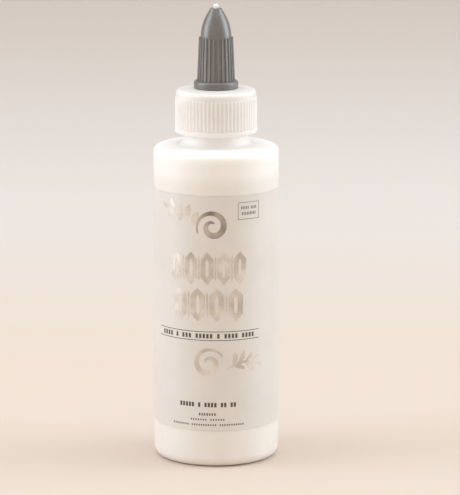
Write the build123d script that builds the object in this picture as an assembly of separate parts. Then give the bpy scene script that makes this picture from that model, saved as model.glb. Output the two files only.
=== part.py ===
from build123d import *
from math import pi
import os

# Glue applicator bottle: a round squeeze bottle of white glue with a screw closure and a
# twist-open nozzle. The origin is the centre of the base, on the surface that the bottle
# stands on, and +Z is the bottle's axis. Sizes are in millimetres. The model is drawn with
# the closure screwed down and the nozzle twisted shut.

# --- Bottle body ---
body_radius = 20.7
wall = 1.0
base_corner_radius = 3.2
shoulder_height = 104.9
shoulder_corner_radius = 2.2
shoulder_rise = 0.5
push_up_radius = 15.2
push_up_height = 1.6
push_up_rounding = 2.0
standing_ring_rounding = 0.6
pinch_off_length = 22.0
pinch_off_width = 0.9
pinch_off_height = 0.4

# --- Bottle neck, a 24 mm finish ---
neck_radius = 10.55
neck_bore_radius = 8.7
rim_height = 120.9
rim_rounding = 0.35
neck_fillet = 2.6
neck_bore_fillet = 1.4

# --- Neck thread, shared by bottle and closure ---
neck_thread_lead = 3.175
bottle_thread_crest = 11.75
closure_thread_crest = 10.95
thread_root_width = 2.0
thread_crest_width = 0.9
bottle_thread_turns = 1.5
closure_thread_turns = 1.25
bottle_thread_bottom = 113.6
closure_thread_rise = 0.15

# --- Closure ---
closure_bottom = 109.45
deck_underside = 121.9
deck_rim_height = 123.45
deck_top = 123.96
deck_rim_radius = 13.05
deck_rim_rounding = 1.3
deck_land_radius = 8.2
deck_land_rounding = 3.0
skirt_radius = 13.52
skirt_inner_radius = 12.0
skirt_mouth_radius = 12.3
foot_band_radius = 13.65
foot_band_top = 110.9
closure_rib_top = 120.9
closure_rib_count = 64
closure_rib_depth = 0.18
closure_rib_width_share = 0.68
band_set_back = 0.05

# --- Tower that the nozzle turns on, part of the closure ---
tower_radius = 4.1
tower_bore_radius = 3.1
tower_shoulder_height = 132.9
tower_shoulder_slope = 0.7
tower_bore_slope = 1.2
tower_neck_radius = 3.55
tower_neck_bore_radius = 2.4
tower_top = 139.0
tower_lead_in = 0.2
seal_ring_radius = 3.85
seal_ring_height = 1.6
seal_ring_flank = 0.3
tower_thread_crest = 4.75

# --- Sealing pin, part of the closure ---
spider_thickness = 1.8
spider_arm_width = 0.9
spider_arm_count = 3
spider_drop = 0.3
pin_foot_radius = 1.5
pin_tip_radius = 0.92
pin_taper_start = 143.0
pin_taper_end = 146.0
pin_tip_height = 151.8
pin_rounding = 1.0

# --- Nozzle ---
flange_bottom = 124.0
flange_top = 126.55
flange_top_radius = 7.42
flange_bottom_radius = 7.3
flange_rounding = 1.0
grip_root_radius = 5.95
grip_top = 141.0
grip_top_radius = 5.3
nozzle_rib_count = 26
nozzle_rib_height = 0.32
nozzle_rib_width_share = 0.68
nozzle_rib_crest_share = 0.62
nozzle_rib_top = 140.85
nose_base_radius = 5.1
nose_middle_radius = 4.35
nose_middle_height = 145.3
nose_end_radius = 2.12
nose_end_height = 149.75
lip_middle_radius = 1.96
lip_middle_height = 150.15
mouth_height = 150.42
mouth_lip_radius = 1.62
mouth_radius = 0.98
mouth_land = 1.0
throat_radius = 2.48
throat_height = 147.0
throat_rounding = 2.5
passage_rounding = 6.0
nozzle_thread_bore = 4.9
nozzle_seal_bore = 3.9
nozzle_thread_zone_top = 133.6
nozzle_bore_slope = 0.8
nozzle_seal_zone_top = 141.5
nozzle_thread_crest = 4.25

# --- Twist thread between tower and nozzle ---
twist_lead = 6.0
twist_starts = 2
twist_root_width = 1.7
twist_crest_width = 1.0
tower_thread_turns = 0.8
nozzle_thread_turns = 0.5
tower_thread_bottom = 126.7

# --- Liner, label and glue ---
liner_thickness = 0.96
liner_radius = 11.6
liner_hole_radius = 3.4
liner_edge_rounding = 0.2
liner_gap = 0.02
label_bottom = 12.6
label_top = 91.3
label_thickness = 0.08
label_gap = 0.02
label_seam_angle = 5.0
glue_clearance = 0.12
glue_level = 100.2

# Threads start a little inside the wall that they stand on, so the two fuse.
bite = 0.3

# Small roundings on moulded edges.
tiny_edge = 0.1
fine_edge = 0.2
soft_edge = 0.5


def turned(*corners):
    """A solid of revolution about Z. Each corner is (radius, height, corner rounding)."""
    points = [(radius, 0, height) for radius, height, rounding in corners]
    roundings = [rounding for radius, height, rounding in corners]
    outline = FilletPolyline(*points, radius=roundings, close=True)
    return revolve(make_face(outline), axis=Axis.Z)


def ridge(root_radius, crest_radius, root_width, crest_width, lead, turns, bottom, start_angle=0):
    """A right-hand helical thread ridge. A crest inside its root gives an internal thread."""
    depth = crest_radius - root_radius
    inward_bite = -bite if depth > 0 else bite
    flank_slope = (root_width - crest_width) / 2 / abs(depth)
    foot = root_width / 2 + bite * flank_slope
    tip = crest_width / 2
    path = Helix(pitch=lead, height=lead * turns, radius=root_radius)
    section_plane = Plane(origin=path @ 0, x_dir=(1, 0, 0), z_dir=path % 0)
    section = section_plane * make_face(
        Polyline((inward_bite, -foot), (depth, -tip), (depth, tip), (inward_bite, foot), close=True)
    )
    solid = sweep(section, path=path, is_frenet=True)
    return Pos(0, 0, bottom) * Rot(0, 0, start_angle) * solid


def axial_box(length, width, bottom, top):
    """An upright block centred on the axis, long in X."""
    return Pos(0, 0, bottom) * Box(length, width, top - bottom, align=(Align.CENTER, Align.CENTER, Align.MIN))


def make_bottle():
    outer = turned(
        (0, 0, 0),
        (body_radius, 0, base_corner_radius),
        (body_radius, shoulder_height, shoulder_corner_radius),
        (neck_radius, shoulder_height + shoulder_rise, neck_fillet),
        (neck_radius, rim_height, rim_rounding),
        (0, rim_height, 0),
    )
    inner = turned(
        (0, push_up_height + wall, 0),
        (push_up_radius - wall, push_up_height + wall, push_up_rounding),
        (push_up_radius + wall, wall, standing_ring_rounding),
        (body_radius - wall, wall, base_corner_radius - wall),
        (body_radius - wall, shoulder_height - wall, shoulder_corner_radius - wall),
        (neck_bore_radius, shoulder_height + shoulder_rise - wall, neck_bore_fillet),
        (neck_bore_radius, rim_height + 1, 0),
        (0, rim_height + 1, 0),
    )
    push_up = turned(
        (0, push_up_height, 0),
        (push_up_radius - push_up_rounding, push_up_height, push_up_rounding),
        (push_up_radius, 0, 0),
        (push_up_radius, -1, 0),
        (0, -1, 0),
    )
    pinch_off = axial_box(
        pinch_off_length, pinch_off_width, push_up_height - pinch_off_height, push_up_height + wall / 2
    )
    thread = ridge(
        neck_radius, bottle_thread_crest, thread_root_width, thread_crest_width,
        neck_thread_lead, bottle_thread_turns, bottle_thread_bottom,
    )
    return outer - inner - push_up + pinch_off + thread


def closure_envelope():
    """The closure's outside without its grip valleys. Above the ribs it is a plain band."""
    band_radius = skirt_radius - closure_rib_depth - band_set_back
    return turned(
        (0, closure_bottom, 0),
        (foot_band_radius, closure_bottom, soft_edge),
        (foot_band_radius, foot_band_top - fine_edge, tiny_edge),
        (skirt_radius, foot_band_top, tiny_edge),
        (skirt_radius, closure_rib_top, fine_edge),
        (band_radius, closure_rib_top + tiny_edge, 0),
        (deck_rim_radius, deck_rim_height, deck_rim_rounding),
        (deck_land_radius, deck_top, deck_land_rounding),
        (0, deck_top, 0),
    )


def closure_grip_valleys():
    """The ring between the ribs: everything outside the valley floor that isn't a rib."""
    pitch = 2 * pi * skirt_radius / closure_rib_count
    crest = pitch * closure_rib_width_share / 2
    root_depth = 2 * closure_rib_depth
    rib = Pos(skirt_radius - crest, 0) * Circle(crest)
    rib += Pos(skirt_radius - crest - root_depth / 2, 0) * Rectangle(root_depth, 2 * crest)
    ring = Circle(skirt_radius + 1) - Circle(skirt_radius - closure_rib_depth)
    ring -= PolarLocations(0, closure_rib_count) * rib
    return Pos(0, 0, foot_band_top) * extrude(ring, closure_rib_top + 1 - foot_band_top)


def make_closure():
    outside = closure_envelope() - closure_grip_valleys()
    cavity = turned(
        (0, closure_bottom - 1, 0),
        (skirt_mouth_radius, closure_bottom - 1, 0),
        (skirt_mouth_radius, closure_bottom + fine_edge, 0),
        (skirt_inner_radius, closure_bottom + soft_edge, 0),
        (skirt_inner_radius, deck_underside, soft_edge),
        (0, deck_underside, 0),
    )
    thread = ridge(
        skirt_inner_radius, closure_thread_crest, thread_root_width - 0.1, thread_crest_width,
        neck_thread_lead, closure_thread_turns,
        bottle_thread_bottom - neck_thread_lead / 2 + closure_thread_rise,
    )
    bore = turned(
        (0, deck_underside - 1, 0),
        (tower_bore_radius, deck_underside - 1, 0),
        (tower_bore_radius, tower_shoulder_height - tower_bore_slope, soft_edge),
        (tower_neck_bore_radius, tower_shoulder_height, soft_edge),
        (tower_neck_bore_radius, tower_top + 1, 0),
        (0, tower_top + 1, 0),
    )
    return outside - cavity + thread + tower_wall() - bore + sealing_pin()


def tower_wall():
    """The tower's outside with its twist thread and the ring that seals in the nozzle."""
    deck_middle = (deck_underside + deck_top) / 2
    wall_solid = turned(
        (0, deck_middle, 0),
        (tower_radius, deck_middle, 0),
        (tower_radius, tower_shoulder_height, fine_edge),
        (tower_neck_radius, tower_shoulder_height + tower_shoulder_slope, fine_edge),
        (tower_neck_radius, tower_top - seal_ring_height - 2 * seal_ring_flank, fine_edge),
        (seal_ring_radius, tower_top - seal_ring_height - seal_ring_flank, tiny_edge),
        (seal_ring_radius, tower_top - 2 * tower_lead_in, fine_edge),
        (tower_neck_radius - tower_lead_in, tower_top, 0),
        (0, tower_top, 0),
    )
    for start in range(twist_starts):
        wall_solid += ridge(
            tower_radius, tower_thread_crest, twist_root_width, twist_crest_width,
            twist_lead, tower_thread_turns, tower_thread_bottom, 360 / twist_starts * start,
        )
    return wall_solid


def sealing_pin():
    """The pin that closes the nozzle's mouth, on its three-armed spider in the tower."""
    spider_bottom = tower_top - spider_thickness - spider_drop
    pin = turned(
        (0, spider_bottom, 0),
        (pin_foot_radius, spider_bottom, soft_edge),
        (pin_foot_radius, pin_taper_start, pin_rounding),
        (pin_tip_radius, pin_taper_end, pin_rounding),
        (pin_tip_radius, pin_tip_height - pin_tip_radius / 2, 0),
        (0, pin_tip_height - pin_tip_radius / 2, 0),
    )
    tip_ball = Pos(0, 0, pin_tip_height - pin_tip_radius) * Sphere(pin_tip_radius)
    cut_width = 4 * pin_tip_radius
    pin_below_tip = pin - axial_box(cut_width, cut_width, pin_tip_height - pin_tip_radius, pin_tip_height)
    arm_length = tower_neck_bore_radius + bite
    arm = Pos(arm_length / 2, 0, spider_bottom + spider_thickness / 2) * Box(
        arm_length, spider_arm_width, spider_thickness
    )
    arms = PolarLocations(0, spider_arm_count) * arm
    return pin_below_tip + tip_ball + arms


def nozzle_rib():
    """One grip rib, tapering in with the cone, with its crest rounded."""
    def section(root_radius, height):
        crest = root_radius + nozzle_rib_height
        half_foot = pi * root_radius / nozzle_rib_count * nozzle_rib_width_share
        half_crest = half_foot * nozzle_rib_crest_share
        foot = root_radius - bite
        shoulder = crest - tiny_edge
        outline = [
            Line((foot, -half_foot), (foot, half_foot)),
            Line((foot, half_foot), (shoulder, half_crest)),
            ThreePointArc((shoulder, half_crest), (crest, 0), (shoulder, -half_crest)),
            Line((shoulder, -half_crest), (foot, -half_foot)),
        ]
        return Pos(0, 0, height) * make_face(outline)

    taper = (grip_root_radius - grip_top_radius) / (grip_top - flange_top)
    top_radius = grip_root_radius - taper * (nozzle_rib_top - flange_top)
    foot_height = flange_top - 0.2
    return loft([section(grip_root_radius, foot_height), section(top_radius, nozzle_rib_top)], ruled=True)


def nose():
    """The glossy pointed nose above the grip, up to the rounded lip of the mouth."""
    side = ThreePointArc(
        (nose_base_radius, 0, grip_top),
        (nose_middle_radius, 0, nose_middle_height),
        (nose_end_radius, 0, nose_end_height),
    )
    lip = ThreePointArc(
        (nose_end_radius, 0, nose_end_height),
        (lip_middle_radius, 0, lip_middle_height),
        (mouth_lip_radius, 0, mouth_height),
    )
    rest = Polyline(
        (mouth_lip_radius, 0, mouth_height),
        (0, 0, mouth_height),
        (0, 0, grip_top),
        (nose_base_radius, 0, grip_top),
    )
    return revolve(make_face([side, lip, *rest.edges()]), axis=Axis.Z)


def make_nozzle():
    outside = turned(
        (0, flange_bottom, 0),
        (flange_bottom_radius, flange_bottom, fine_edge),
        (flange_top_radius, flange_top, flange_rounding),
        (grip_root_radius, flange_top, fine_edge),
        (grip_top_radius, grip_top, tiny_edge),
        (0, grip_top, 0),
    )
    outside += nose()
    for location in PolarLocations(0, nozzle_rib_count):
        outside += location * nozzle_rib()
    passage = turned(
        (0, flange_bottom - 1, 0),
        (nozzle_thread_bore, flange_bottom - 1, 0),
        (nozzle_thread_bore, nozzle_thread_zone_top, fine_edge),
        (nozzle_seal_bore, nozzle_thread_zone_top + nozzle_bore_slope, fine_edge),
        (nozzle_seal_bore, nozzle_seal_zone_top, passage_rounding),
        (throat_radius, throat_height, throat_rounding),
        (mouth_radius, mouth_height - mouth_land, soft_edge),
        (mouth_radius, mouth_height + 1, 0),
        (0, mouth_height + 1, 0),
    )
    nozzle = outside - passage
    for start in range(twist_starts):
        nozzle += ridge(
            nozzle_thread_bore, nozzle_thread_crest, twist_root_width, twist_crest_width,
            twist_lead, nozzle_thread_turns, tower_thread_bottom - twist_lead / twist_starts / 2,
            360 / twist_starts * start,
        )
    return nozzle


def make_sealing_liner():
    bottom = rim_height + liner_gap
    top = bottom + liner_thickness
    return turned(
        (liner_hole_radius, bottom, 0),
        (liner_radius, bottom, liner_edge_rounding),
        (liner_radius, top, liner_edge_rounding),
        (liner_hole_radius, top, 0),
    )


def make_wrap_label():
    inner_radius = body_radius + label_gap
    film = Circle(inner_radius + label_thickness) - Circle(inner_radius)
    seam_width = 2 * body_radius * pi * label_seam_angle / 360
    film -= Pos(0, body_radius) * Rectangle(seam_width, 4)
    return Pos(0, 0, label_bottom) * extrude(film, label_top - label_bottom)


def make_glue():
    side = body_radius - wall - glue_clearance
    floor = wall + glue_clearance
    dome_top = push_up_height + wall + glue_clearance
    return turned(
        (0, dome_top, 0),
        (push_up_radius - wall, dome_top, push_up_rounding),
        (push_up_radius + wall, floor, standing_ring_rounding),
        (side, floor, base_corner_radius - wall),
        (side, glue_level, 0),
        (0, glue_level, 0),
    )


os.makedirs("parts", exist_ok=True)
makers = {
    "bottle": make_bottle,
    "closure": make_closure,
    "nozzle": make_nozzle,
    "sealing_liner": make_sealing_liner,
    "wrap_label": make_wrap_label,
    "glue": make_glue,
}
for name, make in makers.items():
    export_step(make(), f"parts/{name}.step")
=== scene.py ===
import math
import bmesh
import bpy
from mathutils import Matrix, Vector


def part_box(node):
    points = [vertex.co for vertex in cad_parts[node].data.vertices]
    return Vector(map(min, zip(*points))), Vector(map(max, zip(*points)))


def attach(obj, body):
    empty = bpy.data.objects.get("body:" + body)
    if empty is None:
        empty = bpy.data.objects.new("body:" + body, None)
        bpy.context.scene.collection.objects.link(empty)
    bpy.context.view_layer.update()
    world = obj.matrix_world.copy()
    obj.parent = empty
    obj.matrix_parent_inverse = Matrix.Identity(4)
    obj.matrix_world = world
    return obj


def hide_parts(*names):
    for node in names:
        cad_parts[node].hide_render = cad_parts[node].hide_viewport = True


# The glue applicator bottle's looks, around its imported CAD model. Every size is in metres.
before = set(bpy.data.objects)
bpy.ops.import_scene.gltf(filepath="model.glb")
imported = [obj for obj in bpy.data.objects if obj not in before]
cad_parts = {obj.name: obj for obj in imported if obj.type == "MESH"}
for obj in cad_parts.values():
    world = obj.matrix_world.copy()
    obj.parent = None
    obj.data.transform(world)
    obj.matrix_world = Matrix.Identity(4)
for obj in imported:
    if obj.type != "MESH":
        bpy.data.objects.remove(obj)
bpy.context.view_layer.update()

MM = 0.001

# --- Places read from the frame ---
_, bottle_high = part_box("bottle")
nozzle_low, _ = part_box("nozzle")
label_low, label_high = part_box("wrap_label")
_, glue_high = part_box("glue")
body_radius = bottle_high.x
label_radius = label_high.x
label_bottom = label_low.z
label_top = label_high.z
grip_height = 17.0 * MM
grip_top = nozzle_low.z + grip_height

# --- Label ---
film_thickness = 0.075 * MM
seam_gap = 1.6 * MM
film_corner = 2.5 * MM
print_lift = 0.006 * MM
print_thickness = 0.02 * MM
art_centre = -3.0 * MM
column_width = 0.5 * MM
film_column_width = 1.0 * MM


# ---------------------------------------------------------------- flat outlines
# An outline is a list of (across, height) points on the unrolled label.

def bar(centre_u, centre_z, width, height):
    """A plain upright rectangle."""
    u, z = width / 2, height / 2
    corners = [(-u, -z), (u, -z), (u, z), (-u, z)]
    return [(centre_u + x, centre_z + y) for x, y in corners]


def rounded_bar(centre_u, centre_z, width, height, radius, steps=6):
    """A rectangle with round corners."""
    points = []
    for corner in range(4):
        side_u = 1 if corner in (0, 3) else -1
        side_z = 1 if corner in (0, 1) else -1
        corner_u = centre_u + side_u * (width / 2 - radius)
        corner_z = centre_z + side_z * (height / 2 - radius)
        for step in range(steps + 1):
            angle = math.pi / 2 * (corner + step / steps)
            points.append((corner_u + radius * math.cos(angle), corner_z + radius * math.sin(angle)))
    return points


def lozenge(centre_u, centre_z, width, height, shoulder):
    """A tall panel with pointed ends. shoulder is each point's share of the height."""
    u, z = width / 2, height / 2
    straight = z * (1 - 2 * shoulder)
    corners = [(0, -z), (u, -straight), (u, straight), (0, z), (-u, straight), (-u, -straight)]
    return [(centre_u + x, centre_z + y) for x, y in corners]


def leaf(foot_u, foot_z, length, width, angle, bend=0.12, steps=12):
    """A pointed oval from its foot towards angle, with its middle bent aside."""
    fullness = 0.85

    def side(sign):
        edge = []
        for i in range(steps + 1):
            share = i / steps
            arch = math.sin(math.pi * share)
            edge.append((length * share, sign * width / 2 * arch ** fullness + bend * length * arch))
        return edge

    points = side(1) + side(-1)[-2:0:-1]
    cosine, sine = math.cos(angle), math.sin(angle)
    return [(foot_u + x * cosine - y * sine, foot_z + x * sine + y * cosine) for x, y in points]


def ribbon(line, width):
    """A stroke along a line of points, thickest at its middle and narrowing to both ends."""
    end_share = 0.25
    left, right = [], []
    for i, (u, z) in enumerate(line):
        before = line[max(i - 1, 0)]
        after = line[min(i + 1, len(line) - 1)]
        run = math.hypot(after[0] - before[0], after[1] - before[1])
        normal_u = -(after[1] - before[1]) / run
        normal_z = (after[0] - before[0]) / run
        share = i / (len(line) - 1)
        half = width / 2 * (end_share + (1 - end_share) * math.sin(math.pi * share))
        left.append((u + normal_u * half, z + normal_z * half))
        right.append((u - normal_u * half, z - normal_z * half))
    return left + right[::-1]


def curl(centre_u, centre_z, radius, start, turns, width, steps=40):
    """A spiral tendril that winds in towards its centre."""
    inward = 0.78
    line = []
    for i in range(steps + 1):
        share = i / steps
        angle = start + turns * 2 * math.pi * share
        reach = radius * (1 - inward * share * min(1.0, abs(turns)))
        line.append((centre_u + reach * math.cos(angle), centre_z + reach * math.sin(angle)))
    return ribbon(line, width)


def ticks(centre_u, centre_z, words, tick, pitch):
    """A row of plain ticks in groups, which stands where a line of small print would be."""
    total = sum(words) + len(words) - 1
    outlines = []
    place = -total / 2 + 0.5
    for count in words:
        for _ in range(count):
            outlines.append(bar(centre_u + place * pitch, centre_z, tick[0], tick[1]))
            place += 1
        place += 1
    return outlines


# ---------------------------------------------------------------- flat shapes bent round the bottle

def flat_mesh(name, outlines):
    """A filled flat mesh of closed outlines. An outline inside another one is a hole."""
    curve = bpy.data.curves.new(name, "CURVE")
    curve.dimensions = "2D"
    curve.fill_mode = "BOTH"
    for outline in outlines:
        spline = curve.splines.new("POLY")
        spline.points.add(len(outline) - 1)
        for point, (u, z) in zip(spline.points, outline):
            point.co = (u, z, 0, 1)
        spline.use_cyclic_u = True
    holder = bpy.data.objects.new(name, curve)
    bpy.context.scene.collection.objects.link(holder)
    bpy.context.view_layer.update()
    mesh = bpy.data.meshes.new_from_object(holder)
    bpy.data.objects.remove(holder)
    return mesh


def wrapped(name, outlines, inner_radius, thickness, columns=column_width):
    """A thin closed sheet of these outlines, bent round the bottle's axis. Across 0 faces -Y."""
    mesh = flat_mesh(name, outlines)
    shape = bmesh.new()
    shape.from_mesh(mesh)
    bmesh.ops.remove_doubles(shape, verts=shape.verts, dist=1e-7)
    low = min(v.co.x for v in shape.verts)
    high = max(v.co.x for v in shape.verts)
    for i in range(math.ceil(low / columns), math.floor(high / columns) + 1):
        bmesh.ops.bisect_plane(
            shape, geom=[*shape.verts, *shape.edges, *shape.faces],
            plane_co=(i * columns, 0, 0), plane_no=(1, 0, 0), dist=1e-8,
        )
    bmesh.ops.recalc_face_normals(shape, faces=shape.faces)
    raised = bmesh.ops.extrude_face_region(shape, geom=list(shape.faces))
    for vert in (g for g in raised["geom"] if isinstance(g, bmesh.types.BMVert)):
        vert.co.z = thickness
    for vert in shape.verts:
        across, height, out = vert.co
        angle = across / body_radius
        radius = inner_radius + out
        vert.co = (radius * math.sin(angle), -radius * math.cos(angle), height)
    bmesh.ops.recalc_face_normals(shape, faces=shape.faces)
    shape.to_mesh(mesh)
    shape.free()
    mesh.name = name
    piece = bpy.data.objects.new(name, mesh)
    bpy.context.scene.collection.objects.link(piece)
    return piece


def smooth_by_angle(piece, degrees=35):
    """Smooth shading that keeps edges sharper than this angle."""
    for face in piece.data.polygons:
        face.use_smooth = True
    piece.data.set_sharp_from_angle(angle=math.radians(degrees))


# ---------------------------------------------------------------- materials

class Nodes:
    """Short ways to build one material's node tree."""

    def __init__(self, name):
        self.material = bpy.data.materials.new(name)
        self.material.use_nodes = True
        self.tree = self.material.node_tree
        self.shader = self.tree.nodes["Principled BSDF"]

    def add(self, kind, **settings):
        node = self.tree.nodes.new(kind)
        for key, value in settings.items():
            setattr(node, key, value)
        return node

    def link(self, source, target):
        self.tree.links.new(source, target)

    def place(self, scale=(1, 1, 1)):
        """Object coordinates in metres, stretched by scale."""
        coordinates = self.add("ShaderNodeTexCoord")
        mapping = self.add("ShaderNodeMapping")
        mapping.inputs["Scale"].default_value = scale
        self.link(coordinates.outputs["Object"], mapping.inputs["Vector"])
        return mapping.outputs["Vector"]

    def noise(self, scale, stretch=(1, 1, 1), detail=3.0, roughness=0.5):
        texture = self.add("ShaderNodeTexNoise")
        texture.inputs["Scale"].default_value = scale
        texture.inputs["Detail"].default_value = detail
        texture.inputs["Roughness"].default_value = roughness
        self.link(self.place(stretch), texture.inputs["Vector"])
        return texture.outputs["Fac"]

    def along(self, axis):
        """The object coordinate along X, Y or Z in metres."""
        split = self.add("ShaderNodeSeparateXYZ")
        self.link(self.place(), split.inputs["Vector"])
        return split.outputs[axis]

    def spread(self, value, low, high, to_low, to_high, smooth=False):
        node = self.add("ShaderNodeMapRange")
        node.interpolation_type = "SMOOTHSTEP" if smooth else "LINEAR"
        for key, number in (("From Min", low), ("From Max", high), ("To Min", to_low), ("To Max", to_high)):
            node.inputs[key].default_value = number
        self.link(value, node.inputs["Value"])
        return node.outputs["Result"]

    def combine(self, first, second, operation="ADD"):
        node = self.add("ShaderNodeMath", operation=operation)
        self.link(first, node.inputs[0])
        if isinstance(second, (int, float)):
            node.inputs[1].default_value = second
        else:
            self.link(second, node.inputs[1])
        return node.outputs["Value"]

    def mix(self, factor, first, second):
        node = self.add("ShaderNodeMix", data_type="RGBA")
        self.link(factor, node.inputs["Factor"])
        for socket, colour in ((node.inputs["A"], first), (node.inputs["B"], second)):
            if isinstance(colour, tuple):
                socket.default_value = (*colour, 1)
            else:
                self.link(colour, socket)
        return node.outputs["Result"]

    def tint(self, value, dark, light, low=0.3, high=0.7):
        """A colour that runs from dark to light as value runs from low to high."""
        return self.mix(self.spread(value, low, high, 0, 1), dark, light)

    def bump(self, value, distance, strength=1.0):
        node = self.add("ShaderNodeBump")
        node.inputs["Distance"].default_value = distance
        node.inputs["Strength"].default_value = strength
        self.link(value, node.inputs["Height"])
        return node.outputs["Normal"]

    def set(self, **values):
        """Sets or links shader sockets: Base_Color=..., Roughness=..."""
        for key, value in values.items():
            socket = self.shader.inputs[key.replace("_", " ")]
            if isinstance(value, bpy.types.NodeSocket):
                self.link(value, socket)
            else:
                socket.default_value = value


def bottle_plastic():
    """Milky blow-moulded polyethylene: soft sheen, faint vertical flow and orange peel, and a painted glow
    above the glue line.
    """
    nodes = Nodes("milky_polyethylene")
    flow = nodes.noise(260, stretch=(1, 1, 0.12), detail=4)
    cloud = nodes.noise(45, detail=2)
    tone = nodes.tint(nodes.combine(flow, cloud), (0.785, 0.76, 0.73), (0.815, 0.79, 0.76), 0.7, 1.3)
    # Painted light: the plastic is lighter above the glue line and lighter again towards the shoulder and
    # neck. This painted glow stands in for light shining through the empty translucent top and filling the
    # closure's shadow on the neck.
    empty = nodes.spread(nodes.along("Z"), glue_high.z - 6.5 * MM, glue_high.z - 1.5 * MM, 0, 1, smooth=True)
    shoulder = nodes.spread(nodes.along("Z"), glue_high.z, glue_high.z + 5 * MM, 0, 1, smooth=True)
    painted_glow = nodes.mix(shoulder, (0.88, 0.865, 0.845), (0.98, 0.97, 0.95))
    nodes.set(
        Base_Color=nodes.mix(empty, tone, painted_glow),
        Roughness=nodes.spread(nodes.noise(900, detail=2), 0.3, 0.7, 0.34, 0.44),
        Normal=nodes.bump(nodes.combine(nodes.noise(700, detail=2), nodes.noise(90)), 0.04 * MM, 0.5),
        IOR=1.51,
        Subsurface_Weight=0.6,
        Subsurface_Scale=1.0 * MM,
        Subsurface_Radius=(1.0, 0.97, 0.94),
        Coat_Weight=0.12,
        Coat_Roughness=0.25,
    )
    return nodes.material


def closure_plastic():
    """White moulded polypropylene with a fine satin grain."""
    nodes = Nodes("white_polypropylene")
    cloud = nodes.noise(160, detail=3)
    nodes.set(
        Base_Color=nodes.tint(cloud, (0.76, 0.745, 0.73), (0.80, 0.785, 0.77)),
        Roughness=nodes.spread(nodes.noise(1500, detail=2), 0.3, 0.7, 0.34, 0.46),
        Normal=nodes.bump(nodes.noise(2600, detail=2), 0.02 * MM, 0.5),
        IOR=1.5,
        Subsurface_Weight=1.0,
        Subsurface_Scale=1.5 * MM,
        Subsurface_Radius=(1.0, 0.97, 0.94),
    )
    return nodes.material


def nozzle_plastic():
    """Grey plastic with fine pearl flakes: satin grip, glossier nose."""
    nodes = Nodes("pearl_grey_plastic")
    flakes = nodes.add("ShaderNodeTexVoronoi")
    flakes.inputs["Scale"].default_value = 5200
    nodes.link(nodes.place(), flakes.inputs["Vector"])
    sparkle = nodes.spread(flakes.outputs["Distance"], 0.15, 0.75, 1, 0)
    flow = nodes.noise(420, stretch=(1, 1, 0.2), detail=4)
    shade = nodes.combine(nodes.combine(sparkle, 0.5, "MULTIPLY"), nodes.combine(flow, 0.5, "MULTIPLY"))
    nose = nodes.spread(nodes.along("Z"), grip_top - 0.3 * MM, grip_top + 0.3 * MM, 0.0, 1.0, smooth=True)
    grain = nodes.spread(nodes.noise(2400, detail=2), 0.3, 0.7, 0.0, 0.08)
    gloss = nodes.spread(nose, 0, 1, 0.42, 0.3)
    nodes.set(
        Base_Color=nodes.tint(shade, (0.143, 0.142, 0.139), (0.240, 0.236, 0.228), 0.3, 0.8),
        Roughness=nodes.combine(gloss, grain),
        Normal=nodes.bump(nodes.noise(1800, detail=2), 0.015 * MM, 0.4),
        Metallic=0.5,
        IOR=1.5,
        Coat_Weight=0.5,
        Coat_Roughness=0.26,
    )
    return nodes.material


def liner_foam():
    """Closed-cell foam: pale, matt, with fine cells."""
    nodes = Nodes("closed_cell_foam")
    cells = nodes.add("ShaderNodeTexVoronoi")
    cells.inputs["Scale"].default_value = 2600
    nodes.link(nodes.place(), cells.inputs["Vector"])
    distance = cells.outputs["Distance"]
    nodes.set(
        Base_Color=nodes.tint(distance, (0.72, 0.72, 0.70), (0.85, 0.85, 0.83), 0.1, 0.8),
        Roughness=nodes.spread(distance, 0, 1, 0.6, 0.8),
        Normal=nodes.bump(distance, 0.1 * MM, 0.6),
    )
    return nodes.material


def white_glue():
    """Thick white adhesive with a wet sheen and slow swirls."""
    nodes = Nodes("white_glue")
    swirl = nodes.noise(60, detail=3)
    nodes.set(
        Base_Color=nodes.tint(swirl, (0.86, 0.84, 0.80), (0.91, 0.9, 0.86)),
        Roughness=nodes.spread(nodes.noise(240), 0.3, 0.7, 0.15, 0.25),
        Normal=nodes.bump(nodes.noise(80), 0.1 * MM, 0.3),
        Subsurface_Weight=0.4,
        Subsurface_Scale=2 * MM,
    )
    return nodes.material


def label_film():
    """Clear film as it looks stuck to the milky bottle: a shade darker and glossier than bare plastic."""
    nodes = Nodes("clear_label_film")
    cloud = nodes.noise(70, detail=3)
    scuffs = nodes.noise(900, stretch=(1, 1, 0.08), detail=5, roughness=0.7)
    nodes.set(
        Base_Color=nodes.tint(cloud, (0.665, 0.64, 0.61), (0.705, 0.68, 0.65)),
        Roughness=nodes.spread(scuffs, 0.35, 0.75, 0.30, 0.42),
        Normal=nodes.bump(nodes.noise(110, detail=1), 0.06 * MM, 0.5),
        IOR=1.51,
        Coat_Weight=0.4,
        Coat_Roughness=0.3,
    )
    return nodes.material


def silver_foil(name, dark, light):
    """Hot-stamped silver foil with soft crinkles. Its tint drifts between dark and light."""
    nodes = Nodes(name)
    crinkle = nodes.noise(520, detail=3)
    drift = nodes.noise(140, detail=2)
    nodes.set(
        Base_Color=nodes.tint(drift, dark, light, 0.35, 0.65),
        Roughness=nodes.spread(crinkle, 0.3, 0.7, 0.22, 0.36),
        Normal=nodes.bump(nodes.combine(crinkle, nodes.noise(170)), 0.05 * MM, 0.35),
        Metallic=1.0,
    )
    return nodes.material


def dark_ink():
    """Dark grey screen-printed ink, slightly uneven."""
    nodes = Nodes("dark_grey_ink")
    grain = nodes.noise(3000, detail=3)
    nodes.set(
        Base_Color=nodes.tint(grain, (0.055, 0.045, 0.04), (0.11, 0.095, 0.085)),
        Roughness=nodes.spread(grain, 0.3, 0.7, 0.35, 0.5),
        Normal=nodes.bump(grain, 0.01 * MM, 0.4),
    )
    return nodes.material


def dress(piece, material):
    """Gives a piece one material over all of it."""
    piece.data.materials.clear()
    piece.data.materials.append(material)


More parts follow.
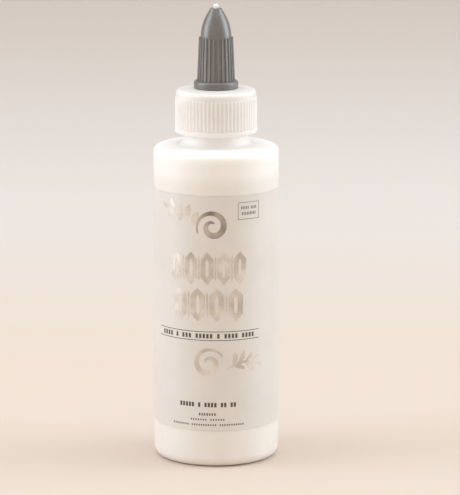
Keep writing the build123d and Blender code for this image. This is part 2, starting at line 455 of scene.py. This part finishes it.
# ---------------------------------------------------------------- label pieces

def on_bottle(piece, material):
    """Finishes a label piece, which stays on the bottle at every pose."""
    smooth_by_angle(piece)
    dress(piece, material)
    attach(piece, "bottle")


def make_film():
    """The clear film. Its ends stop short of each other behind the bottle."""
    width = 2 * math.pi * body_radius - seam_gap
    outline = rounded_bar(0, (label_bottom + label_top) / 2, width, label_top - label_bottom, film_corner)
    film = wrapped("label_film", [outline], label_radius - film_thickness, film_thickness, film_column_width)
    on_bottle(film, label_film())
    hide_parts("wrap_label")


def foil_band(centre_z, width, height, count):
    """A row of tall pointed panels, each with a slit, with slim bars between them."""
    pitch = width / count
    panel_width = pitch * 0.78
    slit_width = pitch * 0.2
    slit_height = height * 0.62
    bar_width = pitch * 0.09
    bar_height = height * 0.8
    outlines = []
    for i in range(count):
        centre = art_centre + (i - (count - 1) / 2) * pitch
        outlines.append(lozenge(centre, centre_z, panel_width, height, 0.22))
        outlines.append(lozenge(centre, centre_z, slit_width, slit_height, 0.22))
        if i < count - 1:
            outlines.append(lozenge(centre + pitch / 2, centre_z, bar_width, bar_height, 0.12))
    return outlines


def sprig(foot_u, foot_z, direction, mirror, size):
    """A curved stem with pairs of leaves and one leaf at its tip."""
    stem_length = 13 * MM * size
    bow = 2.2 * MM * size
    leaf_length = 5.4 * MM * size
    leaf_width = 2.2 * MM * size
    leaf_gap = 0.5 * MM * size
    leaf_spread = 0.85
    steps = 24
    stem = []
    for i in range(steps + 1):
        share = i / steps
        along = stem_length * share
        aside = mirror * bow * math.sin(math.pi * share)
        stem.append((
            foot_u + along * math.cos(direction) - aside * math.sin(direction),
            foot_z + along * math.sin(direction) + aside * math.cos(direction),
        ))
    outlines = [ribbon(stem, 0.8 * MM * size)]
    for place in range(5, 21, 5):
        before, after = stem[place - 1], stem[place + 1]
        heading = math.atan2(after[1] - before[1], after[0] - before[0])
        shrink = 1 - 0.3 * place / steps
        for side in (1, -1):
            angle = heading + side * leaf_spread
            foot = (
                stem[place][0] + leaf_gap * math.cos(angle),
                stem[place][1] + leaf_gap * math.sin(angle),
            )
            outlines.append(leaf(*foot, leaf_length * shrink, leaf_width * shrink, angle, bend=-0.12 * side))
    tip = (
        stem[-1][0] + leaf_gap * math.cos(direction),
        stem[-1][1] + leaf_gap * math.sin(direction),
    )
    outlines.append(leaf(*tip, leaf_length * 0.65, leaf_width * 0.75, direction - mirror * 0.5, bend=0.0))
    return outlines


def make_foil():
    """Foil art on the front: a dark curl, and two rows of panels between two pale sprigs."""
    upper_curl_height = 81.2 * MM
    upper_sprig_height = 78.2 * MM
    upper_band_height = 67.3 * MM
    lower_band_height = 55.1 * MM
    lower_curl_height = 35.4 * MM
    lower_sprig_height = 33.2 * MM
    upper_start = math.radians(205)
    lower_start = math.radians(25)
    dark_curl = [curl(art_centre + 1.8 * MM, upper_curl_height, 5.4 * MM, upper_start, -1.4, 2.0 * MM)]
    pale_art = sprig(art_centre - 3.6 * MM, upper_sprig_height, math.radians(140), mirror=-1, size=1.0)
    pale_art += foil_band(upper_band_height, 27.4 * MM, 10.9 * MM, 5)
    pale_art += foil_band(lower_band_height, 25.4 * MM, 11.2 * MM, 4)
    pale_art += sprig(art_centre + 6.4 * MM, lower_sprig_height, math.radians(8), mirror=1, size=0.82)
    pale_art.append(curl(art_centre + 0.4 * MM, lower_curl_height, 5.2 * MM, lower_start, 1.4, 1.8 * MM))
    foil_radius = label_radius + print_lift
    dark_foil = silver_foil("dark_silver_foil", (0.26, 0.24, 0.21), (0.58, 0.545, 0.50))
    pale_foil = silver_foil("pale_silver_foil", (0.55, 0.51, 0.46), (0.78, 0.74, 0.69))
    on_bottle(wrapped("label_foil_curl", dark_curl, foil_radius, print_thickness), dark_foil)
    on_bottle(wrapped("label_foil_art", pale_art, foil_radius, print_thickness), pale_foil)


def box_rule(centre_u, centre_z, width, height, line):
    """A rectangular frame of one line width."""
    return [
        bar(centre_u, centre_z, width, height),
        bar(centre_u, centre_z, width - 2 * line, height - 2 * line),
    ]


def front_print():
    """Two rules with a bold line between them, and four smaller lines near the label's foot."""
    rule = (37.4 * MM, 0.2 * MM)
    bold = (0.74 * MM, 1.5 * MM)
    medium = (0.45 * MM, 0.85 * MM)
    small = (0.38 * MM, 0.6 * MM)
    rule_centre = art_centre - 0.5 * MM
    outlines = [bar(rule_centre, height, *rule) for height in (46.1 * MM, 43.2 * MM)]
    outlines += ticks(rule_centre, 44.65 * MM, (4, 1, 3, 5, 1, 4, 4), bold, 1.2 * MM)
    outlines += ticks(art_centre, 21.4 * MM, (5, 1, 4, 2, 2), bold, 1.08 * MM)
    outlines += ticks(art_centre, 18.2 * MM, (7,), medium, 0.85 * MM)
    outlines += ticks(art_centre, 16.4 * MM, (7, 6), small, 0.84 * MM)
    outlines += ticks(art_centre, 14.6 * MM, (8, 11, 11), small, 0.78 * MM)
    return outlines


def stamp_print():
    """A small framed box at the label's upper right with two rows of ticks in it."""
    centre_u = art_centre + 14.2 * MM
    centre_z = 86.2 * MM
    tick = (0.26 * MM, 1.0 * MM)
    pitch = 0.6 * MM
    outlines = box_rule(centre_u, centre_z, 7.9 * MM, 5.7 * MM, 0.14 * MM)
    outlines += ticks(centre_u, centre_z + 1.0 * MM, (5, 4), tick, pitch)
    outlines += ticks(centre_u, centre_z - 0.9 * MM, (9,), tick, pitch)
    return outlines


def back_print():
    """A block of fine lines on each side of the seam."""
    block_place = math.pi * body_radius * 0.74
    line_count = 9
    first_line = 72 * MM
    line_gap = 3.0 * MM
    line_words = ((5, 3, 7, 4), (6, 6, 2, 6), (3, 8, 5, 4))
    tick = (0.4 * MM, 0.8 * MM)
    outlines = []
    for line in range(line_count):
        words = line_words[line % len(line_words)]
        for side in (-1, 1):
            outlines += ticks(side * block_place, first_line - line_gap * line, words, tick, 0.82 * MM)
    return outlines


def make_small_print():
    """Dark rules and groups of ticks where the small print would be."""
    outlines = front_print() + stamp_print() + back_print()
    small_print = wrapped("label_small_print", outlines, label_radius + print_lift, print_thickness)
    on_bottle(small_print, dark_ink())


# ---------------------------------------------------------------- studio

def studio_paper():
    """Plain paper: warm and pale around the bottle, pale grey further back."""
    nodes = Nodes("studio_paper")
    far = nodes.spread(nodes.along("Y"), 0.1, 0.5, 0, 1, smooth=True)
    nodes.set(Base_Color=nodes.mix(far, (0.68, 0.595, 0.52), (0.70, 0.68, 0.67)), Roughness=0.6)
    return nodes.material


def make_studio():
    """A pale floor that curves up into a pale backdrop far behind."""
    half_width = 3.0
    front = -2.5
    back = 2.6
    rise = 2.6
    bend = 0.6
    bend_steps = 12
    profile = [(front, 0.0), (back - bend, 0.0)]
    for step in range(1, bend_steps + 1):
        angle = math.pi / 2 * step / bend_steps
        profile.append((back - bend + bend * math.sin(angle), bend - bend * math.cos(angle)))
    profile.append((back, rise))
    mesh = bpy.data.meshes.new("studio_floor")
    verts = [(x, y, z) for y, z in profile for x in (-half_width, half_width)]
    faces = [(2 * i, 2 * i + 1, 2 * i + 3, 2 * i + 2) for i in range(len(profile) - 1)]
    mesh.from_pydata(verts, [], faces)
    floor = bpy.data.objects.new("studio_floor", mesh)
    bpy.context.scene.collection.objects.link(floor)
    for face in mesh.polygons:
        face.use_smooth = True
    dress(floor, studio_paper())


def softbox(name, place, target, size, power, colour):
    """A soft rectangular light of this power in watts, turned towards its target."""
    light = bpy.data.lights.new(name, "AREA")
    light.shape = "RECTANGLE"
    light.size, light.size_y = size
    light.energy = power
    light.color = colour
    holder = bpy.data.objects.new(name, light)
    holder.location = place
    holder.rotation_euler = (Vector(target) - Vector(place)).to_track_quat("-Z", "Y").to_euler()
    bpy.context.scene.collection.objects.link(holder)


def make_lights():
    """A tall softbox on each side and one overhead, in a warm even fill."""
    middle = (0, 0, 0.08)
    softbox("left_softbox", (-0.95, -0.10, 0.50), middle, (0.7, 1.1), 6.5, (0.76, 0.87, 1.0))
    softbox("right_softbox", (0.95, 0.04, 0.50), middle, (0.7, 1.1), 6.8, (0.72, 0.87, 1.0))
    softbox("top_softbox", (0, 0.05, 1.15), middle, (0.9, 0.9), 4.6, (0.72, 0.86, 1.0))
    world = bpy.data.worlds.new("studio_world")
    world.use_nodes = True
    fill = world.node_tree.nodes["Background"]
    fill.inputs["Color"].default_value = (1.0, 0.866, 0.738, 1)
    fill.inputs["Strength"].default_value = 0.86
    bpy.context.scene.world = world
    bpy.context.scene.view_settings.view_transform = "Standard"


def make_camera():
    """Far off and a little above, tilted down to the bottle, which stands left of the middle."""
    distance = 1.1605
    height = 0.3042
    tilt_down = math.radians(11.4)
    turn_right = math.radians(0.227)
    camera = bpy.data.cameras.new("camera")
    camera.lens = 258.9
    camera.sensor_width = 36
    camera.clip_start = 0.05
    camera.clip_end = 20
    holder = bpy.data.objects.new("camera", camera)
    holder.location = (0, -distance, height)
    holder.rotation_euler = (math.pi / 2 - tilt_down, 0, -turn_right)
    bpy.context.scene.collection.objects.link(holder)
    bpy.context.scene.camera = holder


dress(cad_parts["bottle"], bottle_plastic())
dress(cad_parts["closure"], closure_plastic())
dress(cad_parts["nozzle"], nozzle_plastic())
dress(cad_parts["sealing_liner"], liner_foam())
dress(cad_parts["glue"], white_glue())
make_film()
make_foil()
make_small_print()
make_studio()
make_lights()
make_camera()
